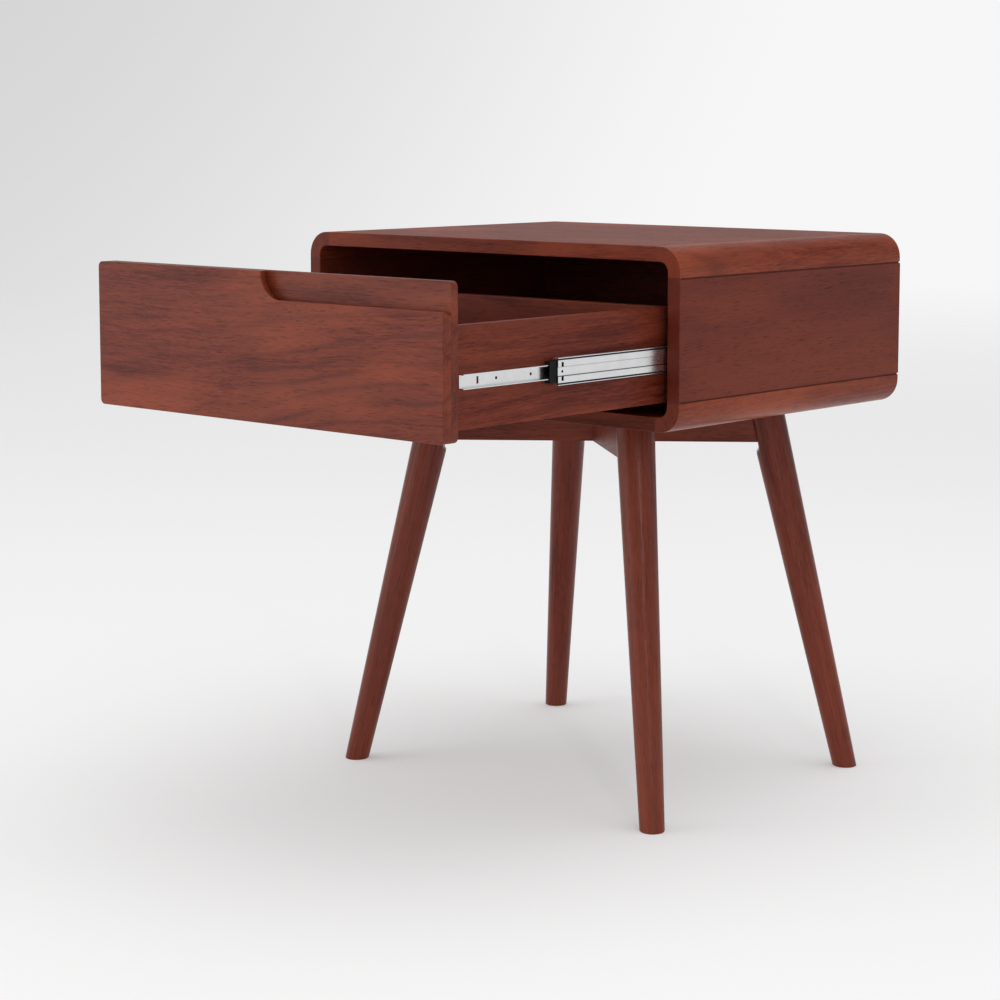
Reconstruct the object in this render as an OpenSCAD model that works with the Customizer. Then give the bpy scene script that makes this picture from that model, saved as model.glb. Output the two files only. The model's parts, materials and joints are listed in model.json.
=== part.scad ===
// Nightstand: a round-cornered cabinet with one drawer, carried on four splayed round legs.
// Row frame: +Z up, the drawer front faces -Y, left and right are as seen from the front.
// The drawer is drawn pulled out by open_rest. Sizes are millimetres.

/* [Cabinet] */
// Width of the cabinet from side to side
cab_w = 584; // [520:0.1:701]
// Depth of the cabinet from front to back
cab_d = 433; // [420:0.1:520]
// Height of the cabinet box itself, without the legs
cab_h = 205; // [190:1:260]
// Height of the whole piece from the floor to the top
total_h = 666; // [520:1:800]
// Thickness of the top and bottom panels
panel_t = 17; // [16:0.5:23]
// Thickness of the two side panels
side_t = 17.5; // [15:0.5:21]
// Outside size of each square corner block
corner_size = 33.5; // [32:0.5:44]
// Radius of the rounded outer edge of a corner block
corner_r = 28; // [20:0.5:30]
// Radius of the inside corner of the cabinet
inner_r = 11.5; // [8:0.5:12]
// Width and depth of the shadow line between a side panel and a corner block
shadow_line = 2; // [1:0.25:3]
// Distance the shadow line stops short of the front edge
shadow_stop = 1.5; // [1:0.5:4]

/* [Back panel] */
// Thickness of the back panel
back_t = 9; // [6:0.5:12]
// Width of the step the back panel sits in
rebate_w = 8; // [7:0.5:9]

/* [Legs and cross beams] */
// Distance from the cabinet centre to a foot, across the width
foot_x = 239.5; // [200:0.5:260]
// Distance from the cabinet centre to a foot, front to back
foot_y = 192.5; // [160:0.5:200]
// Distance along the diagonal from the cabinet centre to the top of a leg's centre line
leg_top_reach = 199.5; // [180:0.5:215]
// Radius of a leg at the floor
foot_r = 14.5; // [12:0.5:18]
// Radius of a leg under the cabinet
leg_top_r = 23; // [20:0.5:26]
// Distance from a leg's centre line to the flat that seats the beam end
leg_flat = 17.5; // [15:0.5:19]
// Length of the sloped shoulder under the flat
leg_shoulder = 5; // [3:0.5:8]
// Thickness of a cross beam
beam_t = 24.5; // [20:0.5:28]
// Height of a cross beam
beam_h = 52; // [44:0.1:64]
// Diameter of the dowels between the beams and the legs
dowel_d = 8; // [6:1:10]
// Length of those dowels
dowel_len = 40; // [30:1:50]

/* [Drawer] */
// Distance the drawer stands open
open_rest = 350; // [250:1:352]
// Gap at each end of the drawer front when closed
front_gap_side = 4.5; // [3:0.5:6]
// Gap above the drawer front
front_gap_top = 4.6; // [1.5:0.1:5]
// Gap below the drawer front
front_gap_bottom = 3.7; // [1.5:0.1:5]
// Thickness of the outer face board of the drawer front
face_t = 12; // [9:0.5:16]
// Thickness of the inner board of the drawer front
backer_t = 9.4; // [8:0.1:12]
// Radius of the corners of the drawer front
front_r = 6; // [3:0.5:10]
// Where the finger pull begins, measured to the right of the middle
pull_start = 3; // [-40:1:60]
// Depth of the finger pull, which is also the radius of its round end
pull_drop = 29.5; // [22:0.5:36]
// Drop of the finger pull's edge from the front of the face board to its back
pull_slope = 5; // [2:0.5:7]
// Thickness of the sides and back of the drawer box
box_t = 12; // [10:0.5:15]
// Height of the sides and back of the drawer box
box_h = 106; // [90:1:112]
// Height of the drawer box above the cabinet floor
box_lift = 15; // [8:0.5:20]
// Length of the drawer box behind its front
box_len = 352; // [348:1:360]
// Thickness of the drawer bottom
bottom_t = 6; // [4:0.5:8]
// Height of the drawer bottom above the lower edge of the sides
bottom_lift = 12; // [8:0.5:16]
// Depth of the groove that holds the drawer bottom
bottom_groove = 5; // [3:0.5:6]

/* [Ball slides] */
// Length of the cabinet member of a slide
slide_len = 350; // [348:1:356]
// Height of a slide's centre line above the underside of the cabinet
slide_up = 81.5; // [72:0.1:92]
// Width of the space a slide takes beside the drawer box
slide_gap = 12.7; // [12.5:0.01:15.3]
// Height of the cabinet member
outer_h = 34; // [33:0.5:35]
// Part of the drawer's travel that the middle member follows
mid_share = 0.58; // [0.5:0.01:0.6]

/* [Hidden] */
$fn = 64;

eps = 0.5;           // overshoot of a cutting shape past the face it cuts
fit = 0.1;           // clearance round a dowel, screw or lapped joint
panel_fit = 0.3;     // clearance round a panel in its step or groove
back_inset = 1;      // how far the back panel sits in from the rear edges
head_sunk = 0.05;    // how far a slide screw's head sits below the web

under_z = total_h - cab_h;
mid_x = cab_w / 2;
open_half = mid_x - side_t;
cab_mid_y = cab_d / 2;
row_y = -(cab_d - open_rest) / 2;

foot_reach = sqrt(foot_x * foot_x + foot_y * foot_y);
diagonal = atan2(foot_y, foot_x);
splay = atan2(foot_reach - leg_top_reach, under_z);
leg_grow = (leg_top_r - foot_r) / under_z;
beam_z = under_z - beam_h;
leg_spare = 40;      // extra length of the turned blank past each end before it is cut level

front_w = 2 * (open_half - front_gap_side);
front_h = cab_h - 2 * panel_t - front_gap_top - front_gap_bottom;
front_z = under_z + panel_t + front_gap_bottom;
front_t = face_t + backer_t;
face_y = -open_rest;
backer_y = face_y + face_t;
box_y = face_y + front_t;
box_half = open_half - slide_gap;
box_z = under_z + panel_t + box_lift;
bottom_z = box_z + bottom_lift;
inside_half = box_half - box_t;
box_back_y = box_y + box_len - box_t;

slide_z = under_z + slide_up;
behind_front = 1.1;  // gap between the closed drawer front and the cabinet members
middle_back = 1.5;   // how far the middle member's mouth sits behind the cabinet member's when closed
inner_back = 7.7;    // the same for the drawer member
middle_short = 4;    // how much shorter the middle member is than the cabinet member
inner_short = 0.5;   // how far the drawer member stops short of the box's back
outer_y = front_t + behind_front;
mid_closed_y = outer_y + middle_back;
inner_closed_y = outer_y + inner_back;
mid_y = mid_closed_y - mid_share * open_rest;
inner_y = inner_closed_y - open_rest;
mid_len = slide_len - middle_short;
inner_len = box_len - (inner_closed_y - front_t) - inner_short;

web_t = 1.2;         // thickness of the slides' flat webs
skin_t = 1.1;        // thickness of the cabinet member's flanges
outer_reach = 9.6;   // how far the cabinet member's flanges stand off the cabinet side
outer_v = outer_h / 2;
mid_v = outer_v - 2.5; // half height of the middle member
mid_flange = 2.6;    // thickness of the middle member's rolled flanges
mid_u = 2.2;         // stand-off of the middle member's web from the cabinet side
mid_reach = 10.2;    // stand-off of its flange tips
bead_v = 4.8;        // half width of the pressed bead along the middle member
bead_in = 0.5;       // depth of that bead
inner_v = mid_v - 6.7; // half height of the drawer member
inner_reach = 5.4;   // stand-off of its flange tips from the cabinet side
inner_u = slide_gap - web_t;

outer_slot = [14, 4.5]; // length and height of the slots in the cabinet member
mouth_holes = 7;     // distance of the middle member's holes from its mouth
mouth_hole_r = 1.5;
mouth_slot = [3.6, 4.8]; // length and height of the two slots there
mouth_slot_v = 7.4;  // their distance above and below the centre line
line_w = 1.6;        // width of the groove beside each rolled flange
line_deep = 2.2;     // its depth
line_in = 1.7;       // its distance from the flange's edge
front_slot = [3, 7.5]; // length and height of the upright slot in the drawer member
front_slot_in = 27;  // its distance from the member's front end
front_holes = [55, 108]; // distances of the round holes behind it
front_hole_r = 1.7;

outer_ball_r = 1.15;
outer_ball_u = 6;    // stand-off of the outer balls from the cabinet side
outer_ball_v = (outer_v - skin_t + mid_v) / 2;
inner_ball_r = (mid_v - mid_flange - inner_v) / 2 + 0.1;
inner_ball_u = 8.4;  // the same for the inner balls
inner_ball_v = (mid_v - mid_flange + inner_v) / 2;
race_fit = 0.1;      // clearance between a ball and its race

cage_gap = 0.4;      // clearance between the inner cage and the slide members
web_gap = 0.3;       // clearance on each side of the outer cage's thin web
inner_web_gap = 0.35; // clearance between the inner cage's web and the middle member
outer_cage_t = 0.7;
outer_cage_len = 100;
outer_cage_y = outer_y + 20; // where the outer cage stands with the drawer open
inner_cage_len = 110;
cage_nose = 11;      // how far the inner cage shows past the middle member's mouth
inner_cage_y = mid_y - cage_nose;
balls_per_row = 3;
cage_ends = 20;      // length of each cage that carries no balls

screw_r = 1.7;       // radius of a wood screw's shank
screw_head_r = 3.4;
screw_head_h = 1.7;
screw_tip = 3;
slide_screw_len = 11;
front_screw_len = 34;
box_screw_len = 32;
back_screw_len = 22;
beam_screw_bite = 8; // how far a beam screw reaches into the bottom panel
beam_screw_len = beam_h + beam_screw_bite;
beam_screw_reach = 110; // distance of a beam screw from the middle, along the diagonal
low_screw = 34;      // height of the lower box screw above the box's lower edge
high_screw = 20;     // distance of the upper box screw below the box's upper edge
screw_ends = 35;     // distance of the end screws from the ends of the cabinet member
inner_screw_back = [191, 70, 15]; // distances of the drawer member's screws from its rear end
back_screw_in = 4;   // distance of a back screw from the edge of the back panel

wood = [0.36, 0.12, 0.08];
plywood = [0.45, 0.22, 0.15];
steel = [0.78, 0.79, 0.8];
plastic = [0.06, 0.06, 0.065];

// A flat outline drawn across the width and height, made solid from y0 backwards.
module run_back(y0, length) {
    translate([0, y0 + length, 0])
        rotate([90, 0, 0])
            linear_extrude(length) children();
}

// Rectangle with rounded corners, centred.
module round_rect(w, h, r) {
    square([w - 2 * r, h], center = true);
    square([w, h - 2 * r], center = true);
    for (x = [-w / 2 + r, w / 2 - r], y = [-h / 2 + r, h / 2 - r])
        translate([x, y]) circle(r);
}

// Everything is placed in the row frame by this one shift.
module in_row() {
    translate([0, row_y, 0]) children();
}

module both_sides() {
    children();
    mirror([1, 0, 0]) children();
}

// ---------------------------------------------------------------- screws and dowels

// Countersunk wood screw: head at the origin, shank pointing down -Z.
module wood_screw(length, extra = 0) {
    translate([0, 0, -screw_head_h])
        cylinder(h = screw_head_h, r1 = screw_r + extra, r2 = screw_head_r + extra, $fn = 32);
    translate([0, 0, -length + screw_tip])
        cylinder(h = length - screw_tip - screw_head_h + 0.01, r = screw_r + extra, $fn = 32);
    translate([0, 0, -length - extra])
        cylinder(h = screw_tip + extra + 0.01, r1 = 0.3 + extra, r2 = screw_r + extra, $fn = 32);
}

// The hole for that screw, running on past the head's face.
module screw_hole(length) {
    wood_screw(length, fit);
    cylinder(h = eps, r = screw_head_r + fit, $fn = 32);
}

module outer_screw_spots() {
    for (y = [outer_y + screw_ends, outer_y + slide_len / 2, outer_y + slide_len - screw_ends])
        translate([open_half - web_t + head_sunk, y, slide_z])
            rotate([0, -90, 0]) children();
}

module inner_screw_spots() {
    for (y = [for (back = inner_screw_back) inner_y + inner_len - back])
        translate([box_half + web_t - head_sunk, y, slide_z])
            rotate([0, 90, 0]) children();
}

module front_screw_spots() {
    for (z = [box_z + low_screw, box_z + box_h - high_screw])
        translate([box_half - box_t / 2, backer_y, z])
            rotate([90, 0, 0]) children();
}

module box_screw_spots() {
    for (z = [box_z + low_screw, box_z + box_h - high_screw])
        translate([box_half, box_back_y + box_t / 2, z])
            rotate([0, 90, 0]) children();
}

module back_screw_spots() {
    half_w = open_half + rebate_w - back_screw_in;
    low = under_z + panel_t - rebate_w + back_screw_in;
    high = total_h - panel_t + rebate_w - back_screw_in;
    for (p = [[-half_w, slide_z], [half_w, slide_z],
              [-cab_w / 4, low], [cab_w / 4, low], [-cab_w / 4, high], [cab_w / 4, high]])
        translate([p[0], cab_d - back_inset, p[1]])
            rotate([-90, 0, 0]) children();
}

// Spots under the beams, set out along the two diagonals, screwing up into the bottom panel.
module beam_screw_spots(side) {
    for (reach = [-beam_screw_reach, beam_screw_reach])
        translate([0, cab_mid_y, beam_z])
            rotate([0, 0, side * diagonal])
                translate([reach, 0, 0])
                    rotate([180, 0, 0]) children();
}

// Frame of one leg: +X points outward along the diagonal from the middle of the cabinet.
module on_diagonal(sx, sy) {
    translate([0, cab_mid_y, 0])
        rotate([0, 0, atan2(sy * foot_y, sx * foot_x)]) children();
}

// Centre line of a leg: +Z runs up the leg from the foot, +X stays outward.
module on_leg() {
    translate([foot_reach, 0, 0])
        rotate([0, -splay, 0]) children();
}

// Reach of the leg's seat flat at the middle of the beam's height.
dowel_z = under_z - beam_h / 2;
seat_reach = foot_reach - dowel_z * tan(splay) - leg_flat / cos(splay);

module leg_dowel(sx, sy, extra) {
    on_diagonal(sx, sy)
        translate([seat_reach - dowel_len / 2 - extra, 0, dowel_z])
            rotate([0, 90, 0])
                cylinder(h = dowel_len + 2 * extra, r = dowel_d / 2 + extra, $fn = 32);
}

// ---------------------------------------------------------------- cabinet

// Step around the back opening that the back panel sits in.
module back_step(extra) {
    run_back(cab_d - back_t - back_inset, back_t + back_inset + extra)
        translate([0, under_z + cab_h / 2])
            round_rect(2 * (open_half + rebate_w), cab_h - 2 * (panel_t - rebate_w),
                       inner_r + rebate_w);
}

module back_screw_holes() {
    back_screw_spots() screw_hole(back_screw_len);
}

module panel(z) {
    color(wood) difference() {
        translate([-mid_x + corner_size, 0, z])
            cube([cab_w - 2 * corner_size, cab_d, panel_t]);
        back_step(eps);
        back_screw_holes();
        beam_screw_spots(1) screw_hole(beam_screw_len);
        beam_screw_spots(-1) screw_hole(beam_screw_len);
    }
}

module top_panel() {
    panel(total_h - panel_t);
}

module bottom_panel() {
    panel(under_z);
}

module side_panel() {
    low = under_z + corner_size;
    high = total_h - corner_size;
    color(wood) difference() {
        translate([open_half, 0, low])
            cube([side_t, cab_d, high - low]);
        for (z = [low - eps, high - shadow_line])
            translate([mid_x - shadow_line, shadow_stop, z])
                cube([shadow_line + eps, cab_d, shadow_line + eps]);
        back_step(eps);
        back_screw_holes();
        outer_screw_spots() screw_hole(slide_screw_len);
    }
}

// Corner block at +X; up = 1 for the top, -1 for the bottom.
module corner_block(up) {
    mid_z = under_z + cab_h / 2;
    color(wood) difference() {
        run_back(0, cab_d)
            translate([0, mid_z]) intersection() {
                difference() {
                    round_rect(cab_w, cab_h, corner_r);
                    round_rect(2 * open_half, cab_h - 2 * panel_t, inner_r);
                }
                translate([mid_x - corner_size, up > 0 ? cab_h / 2 - corner_size : -cab_h / 2])
                    square([corner_size, corner_size]);
            }
        back_step(eps);
    }
}

module back_panel() {
    color(plywood) difference() {
        run_back(cab_d - back_t - back_inset, back_t)
            translate([0, under_z + cab_h / 2])
                round_rect(2 * (open_half + rebate_w - panel_fit),
                           cab_h - 2 * (panel_t - rebate_w + panel_fit),
                           inner_r + rebate_w - panel_fit);
        back_screw_holes();
    }
}

// ---------------------------------------------------------------- legs and cross beams

// Bar along one diagonal between the seats of two legs, before the halving cut.
module beam_bar(side) {
    translate([0, cab_mid_y, 0])
        rotate([0, 0, side * diagonal])
            translate([0, beam_t / 2, 0])
                rotate([90, 0, 0])
                    linear_extrude(beam_t)
                        polygon([[-seat_at(beam_z), beam_z], [seat_at(beam_z), beam_z],
                                 [seat_at(under_z), under_z], [-seat_at(under_z), under_z]]);
}

// Distance from the middle to a leg's seat flat at height z.
function seat_at(z) = foot_reach - z * tan(splay) - leg_flat / cos(splay);

// Halving cut for the other beam, in the lower (up = 0) or upper (up = 1) half.
module halving(side, up) {
    translate([0, cab_mid_y, beam_z + up * beam_h / 2 - (1 - up) * eps])
        rotate([0, 0, side * diagonal])
            translate([-beam_t * 2, -beam_t / 2 - fit, 0])
                cube([beam_t * 4, beam_t + 2 * fit, beam_h / 2 + eps]);
}

// Beam from the front left leg to the back right leg.
module beam_front_left() {
    color(wood) difference() {
        beam_bar(1);
        halving(-1, 1);
        beam_screw_spots(1) screw_hole(beam_screw_len);
        leg_dowel(1, 1, fit);
        leg_dowel(-1, -1, fit);
    }
}

// Beam from the front right leg to the back left leg.
module beam_front_right() {
    color(wood) difference() {
        beam_bar(-1);
        halving(1, 0);
        beam_screw_spots(-1) screw_hole(beam_screw_len);
        leg_dowel(1, -1, fit);
        leg_dowel(-1, 1, fit);
    }
}

module leg(sx, sy) {
    run = under_z / cos(splay);
    seat_start = (beam_z - 1 - leg_flat * sin(splay)) / cos(splay);
    blank = run + 2 * leg_spare;
    grow = leg_grow * cos(splay);
    color(wood) difference() {
        intersection() {
            on_diagonal(sx, sy) on_leg()
                translate([0, 0, -leg_spare])
                    cylinder(h = blank, r1 = foot_r - grow * leg_spare,
                             r2 = foot_r + grow * (run + leg_spare), $fn = 96);
            translate([-cab_w, -cab_d, 0])
                cube([2 * cab_w, 3 * cab_d, under_z]);
        }
        // seat flat with its sloped shoulder
        on_diagonal(sx, sy) on_leg()
            translate([0, 2 * leg_top_r, 0])
                rotate([90, 0, 0])
                    linear_extrude(4 * leg_top_r)
                        polygon([[-leg_flat, seat_start],
                                 [-leg_flat, run + leg_spare],
                                 [-3 * leg_top_r, run + leg_spare],
                                 [-3 * leg_top_r, seat_start - 8 * leg_shoulder],
                                 [-leg_top_r, seat_start - leg_shoulder]]);
        leg_dowel(sx, sy, fit);
    }
}

module leg_dowels() {
    color(plywood)
        for (sx = [-1, 1], sy = [-1, 1])
            leg_dowel(sx, sy, 0);
}

// ---------------------------------------------------------------- drawer

module front_outline() {
    translate([0, front_z + front_h / 2])
        round_rect(front_w, front_h, front_r);
}

// Face board, cut down on the right with a round-ended finger pull that slopes back and down.
module drawer_face() {
    top = front_z + front_h;
    end = front_w / 2 + eps;
    start = pull_start + pull_drop;
    over = eps * pull_slope / face_t;
    color(wood) difference() {
        run_back(face_y, face_t) front_outline();
        translate([start, face_y - eps, top])
            rotate([-90, 0, 0])
                cylinder(h = face_t + 2 * eps, r1 = pull_drop - over,
                         r2 = pull_drop + pull_slope + over, $fn = 96);
        translate([start, 0, 0])
            rotate([90, 0, 90])
                linear_extrude(end - start)
                    polygon([[face_y - eps, top - pull_drop + over],
                             [backer_y + eps, top - pull_drop - pull_slope - over],
                             [backer_y + eps, top + eps],
                             [face_y - eps, top + eps]]);
    }
}

module bottom_board(grow) {
    translate([-inside_half - bottom_groove + panel_fit - grow, box_y - bottom_groove + 1 + panel_fit - grow,
               bottom_z - grow / 3])
        cube([2 * (inside_half + bottom_groove - panel_fit + grow),
              box_back_y - box_y + 2 * bottom_groove - 1 - 2 * panel_fit + 2 * grow,
              bottom_t + 2 * grow / 3]);
}

module drawer_backer() {
    color(wood) difference() {
        run_back(backer_y, backer_t) front_outline();
        bottom_board(panel_fit);
        both_sides() front_screw_spots() screw_hole(front_screw_len);
    }
}

module drawer_side() {
    color(wood) difference() {
        translate([inside_half, box_y, box_z])
            cube([box_t, box_len, box_h]);
        bottom_board(panel_fit);
        front_screw_spots() screw_hole(front_screw_len);
        box_screw_spots() screw_hole(box_screw_len);
        inner_screw_spots() screw_hole(slide_screw_len);
    }
}

module drawer_back() {
    color(wood) difference() {
        translate([-inside_half, box_back_y, box_z])
            cube([2 * inside_half, box_t, box_h]);
        bottom_board(panel_fit);
        both_sides() box_screw_spots() screw_hole(box_screw_len);
    }
}

module drawer_bottom() {
    color(plywood) bottom_board(0);
}

// ---------------------------------------------------------------- ball slides, drawn for the right

// Rectangle in the slide's section: u runs from the cabinet side to the drawer, v is height.
module bar(u0, u1, v0, v1) {
    translate([open_half - u1, slide_z + v0])
        square([u1 - u0, v1 - v0]);
}

module two_bars(u0, u1, v0, v1) {
    bar(u0, u1, v0, v1);
    bar(u0, u1, -v1, -v0);
}

// Ball races: round grooves above and below the centre line.
module races(u, v, r, y0, length) {
    for (s = [-1, 1])
        translate([open_half - u, y0 - eps, slide_z + s * v])
            rotate([-90, 0, 0])
                cylinder(h = length + 2 * eps, r = r, $fn = 24);
}

// Hole through the section from side to side.
module cross_hole(y, v, r) {
    translate([open_half - slide_gap - 1, y, slide_z + v])
        rotate([0, 90, 0])
            cylinder(h = slide_gap + 1.5, r = r, $fn = 24);
}

module cross_slot(y, v, w, h) {
    translate([open_half - slide_gap - 1, y - w / 2, slide_z + v - h / 2])
        cube([slide_gap + 1.5, w, h]);
}

module slide_outer() {
    color(steel) difference() {
        run_back(outer_y, slide_len) {
            bar(0, web_t, -outer_v, outer_v);
            two_bars(0, outer_reach, outer_v - skin_t, outer_v);
        }
        races(outer_ball_u, outer_ball_v, outer_ball_r + race_fit, outer_y, slide_len);
        outer_screw_spots() screw_hole(slide_screw_len);
        for (y = [outer_y + slide_len / 4, outer_y + slide_len * 3 / 4])
            cross_slot(y, 0, outer_slot[0], outer_slot[1]);
    }
}

module slide_middle() {
    hole_y = mid_y + mouth_holes;
    color(steel) difference() {
        run_back(mid_y, mid_len) {
            two_bars(mid_u, mid_u + skin_t, bead_v - bead_in, mid_v);
            bar(mid_u + bead_in, mid_u + bead_in + skin_t, -bead_v, bead_v);
            two_bars(mid_u, mid_reach, mid_v - mid_flange, mid_v);
        }
        races(outer_ball_u, outer_ball_v, outer_ball_r + race_fit, mid_y, mid_len);
        races(inner_ball_u, inner_ball_v, inner_ball_r + race_fit, mid_y, mid_len);
        // groove beside each rolled flange
        for (s = [-1, 1])
            translate([open_half - mid_u - line_deep, mid_y - eps,
                       slide_z + s * (mid_v - line_in) - line_w / 2])
                cube([line_deep + eps, mid_len + 2 * eps, line_w]);
        cross_hole(hole_y, 0, mouth_hole_r);
        for (s = [-1, 1])
            cross_slot(hole_y, s * mouth_slot_v, mouth_slot[0], mouth_slot[1]);
    }
}

module slide_inner() {
    color(steel) difference() {
        run_back(inner_y, inner_len) {
            bar(inner_u, slide_gap, -inner_v, inner_v);
            two_bars(inner_reach, slide_gap, inner_v - skin_t, inner_v);
        }
        races(inner_ball_u, inner_ball_v, inner_ball_r + race_fit, inner_y, inner_len);
        inner_screw_spots() screw_hole(slide_screw_len);
        cross_slot(inner_y + front_slot_in, 0, front_slot[0], front_slot[1]);
        for (y = front_holes)
            cross_hole(inner_y + y, 0, front_hole_r);
    }
}

module ball_spots(u, v, y0, length) {
    pitch = (length - cage_ends) / balls_per_row;
    for (s = [-1, 1], i = [0 : balls_per_row - 1])
        translate([open_half - u, y0 + pitch * (i + 0.5), slide_z + s * v]) children();
}

// The inner cage's nose carries no balls.
module inner_ball_spots() {
    ball_spots(inner_ball_u, inner_ball_v, inner_cage_y + cage_nose, inner_cage_len - cage_nose)
        children();
}

module outer_ball_spots() {
    ball_spots(outer_ball_u, outer_ball_v, outer_cage_y + cage_ends / 2, outer_cage_len) children();
}

module outer_cage() {
    half = outer_ball_v + outer_cage_t / 2;
    color(steel) difference() {
        run_back(outer_cage_y, outer_cage_len) {
            bar(web_t + web_gap, mid_u - web_gap, -half, half);
            two_bars(web_t + web_gap, outer_reach - web_t, half - outer_cage_t, half);
        }
        outer_ball_spots()
            cylinder(h = 3 * outer_cage_t, r = outer_ball_r + fit / 2, center = true, $fn = 24);
    }
}

module inner_cage() {
    low = inner_v + cage_gap;
    high = mid_v - mid_flange - cage_gap;
    web_u = mid_u + bead_in + skin_t + inner_web_gap;
    color(plastic) difference() {
        run_back(inner_cage_y, inner_cage_len) {
            bar(web_u, inner_reach - cage_gap, -high, high);
            two_bars(web_u, inner_u - cage_gap, low, high);
        }
        inner_ball_spots()
            cylinder(h = 3 * inner_ball_r, r = inner_ball_r + fit / 2, center = true, $fn = 24);
    }
}

module outer_balls() {
    color(steel) outer_ball_spots() sphere(outer_ball_r, $fn = 16);
}

module inner_balls() {
    color(steel) inner_ball_spots() sphere(inner_ball_r, $fn = 16);
}

module at_left() {
    mirror([1, 0, 0]) children();
}

module beam_screws() {
    color(steel) {
        beam_screw_spots(1) wood_screw(beam_screw_len);
        beam_screw_spots(-1) wood_screw(beam_screw_len);
    }
}

module front_screws() {
    color(steel) both_sides() front_screw_spots() wood_screw(front_screw_len);
}

module box_screws() {
    color(steel) both_sides() box_screw_spots() wood_screw(box_screw_len);
}

module outer_screws() {
    color(steel) both_sides() outer_screw_spots() wood_screw(slide_screw_len);
}

module inner_screws() {
    color(steel) both_sides() inner_screw_spots() wood_screw(slide_screw_len);
}

module back_screws() {
    color(steel) back_screw_spots() wood_screw(back_screw_len);
}

// ---------------------------------------------------------------- nodes

in_row() top_panel();
in_row() bottom_panel();
in_row() at_left() side_panel();  // side_panel_left
in_row() side_panel();  // side_panel_right
in_row() at_left() corner_block(1);  // corner_top_left
in_row() corner_block(1);  // corner_top_right
in_row() at_left() corner_block(-1);  // corner_bottom_left
in_row() corner_block(-1);  // corner_bottom_right
in_row() back_panel();
in_row() back_screws();
in_row() beam_front_left();
in_row() beam_front_right();
in_row() beam_screws();
in_row() leg(-1, -1);  // leg_front_left
in_row() leg(1, -1);  // leg_front_right
in_row() leg(-1, 1);  // leg_back_left
in_row() leg(1, 1);  // leg_back_right
in_row() leg_dowels();
in_row() drawer_face();
in_row() drawer_backer();
in_row() at_left() drawer_side();  // drawer_side_left
in_row() drawer_side();  // drawer_side_right
in_row() drawer_back();
in_row() drawer_bottom();
in_row() front_screws();
in_row() box_screws();
in_row() at_left() slide_outer();  // slide_outer_left
in_row() slide_outer();  // slide_outer_right
in_row() at_left() slide_middle();  // slide_middle_left
in_row() slide_middle();  // slide_middle_right
in_row() at_left() slide_inner();  // slide_inner_left
in_row() slide_inner();  // slide_inner_right
in_row() at_left() outer_cage();  // outer_cage_left
in_row() outer_cage();  // outer_cage_right
in_row() at_left() inner_cage();  // inner_cage_left
in_row() inner_cage();  // inner_cage_right
in_row() at_left() outer_balls();  // outer_balls_left
in_row() outer_balls();  // outer_balls_right
in_row() at_left() inner_balls();  // inner_balls_left
in_row() inner_balls();  // inner_balls_right
in_row() outer_screws();
in_row() inner_screws();
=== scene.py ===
"""Nightstand with one drawer: stained wood boards, turned legs and steel ball slides, in a pale studio.

Metres, in the shared frame: +Z up, the drawer front faces -Y. Cabinet boards, drawer front boards,
drawer back and legs are surfaces worked out with numpy from the frame's own boxes. Slide members, beams
and drawer sides are eased copies of their solids. Back panel, drawer bottom, cages and small hardware
are carried over as they are and only get their finish.
"""
import json
import math

import bmesh
import bpy
import numpy as np
from mathutils import Matrix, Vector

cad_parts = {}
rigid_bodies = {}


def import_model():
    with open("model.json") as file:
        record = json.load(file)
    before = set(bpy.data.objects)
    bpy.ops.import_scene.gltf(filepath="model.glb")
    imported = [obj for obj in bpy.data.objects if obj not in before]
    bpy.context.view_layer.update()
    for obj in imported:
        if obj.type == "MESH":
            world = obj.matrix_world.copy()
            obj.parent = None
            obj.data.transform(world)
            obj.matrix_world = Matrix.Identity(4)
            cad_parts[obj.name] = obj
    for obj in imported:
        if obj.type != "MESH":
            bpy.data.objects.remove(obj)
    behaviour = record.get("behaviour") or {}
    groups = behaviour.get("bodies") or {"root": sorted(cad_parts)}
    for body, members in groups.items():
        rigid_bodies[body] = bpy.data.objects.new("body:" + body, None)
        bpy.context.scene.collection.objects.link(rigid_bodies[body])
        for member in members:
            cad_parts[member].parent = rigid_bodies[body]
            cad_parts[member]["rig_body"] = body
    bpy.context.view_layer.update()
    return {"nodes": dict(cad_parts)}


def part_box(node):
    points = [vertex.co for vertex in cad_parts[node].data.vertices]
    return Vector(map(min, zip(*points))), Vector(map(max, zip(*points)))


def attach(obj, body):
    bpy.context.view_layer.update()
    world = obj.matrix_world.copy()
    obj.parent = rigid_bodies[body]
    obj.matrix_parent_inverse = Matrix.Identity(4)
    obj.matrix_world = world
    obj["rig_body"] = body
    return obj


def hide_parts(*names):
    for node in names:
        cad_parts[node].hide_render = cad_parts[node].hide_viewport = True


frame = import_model()

SIDES = ("left", "right")
LEVELS = (("top", 1), ("bottom", -1))
MM = 0.001

# ------------------------------------------------------------------ sizes


def span(*nodes):
    """Lowest and highest corner of several frame nodes together."""
    boxes = np.array([[list(corner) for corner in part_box(node)] for node in nodes])
    return boxes[:, 0].min(0), boxes[:, 1].max(0)


corner_lo, corner_hi = span(*[f"corner_{level}_{side}" for level, _ in LEVELS for side in SIDES])
side_lo, side_hi = span("side_panel_right")
top_lo, top_hi = span("top_panel")
back_lo, back_hi = span("back_panel")
face_lo, face_hi = span("drawer_face")
backer_lo, backer_hi = span("drawer_backer")
slide_lo, slide_hi = span("slide_middle_right")

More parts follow.
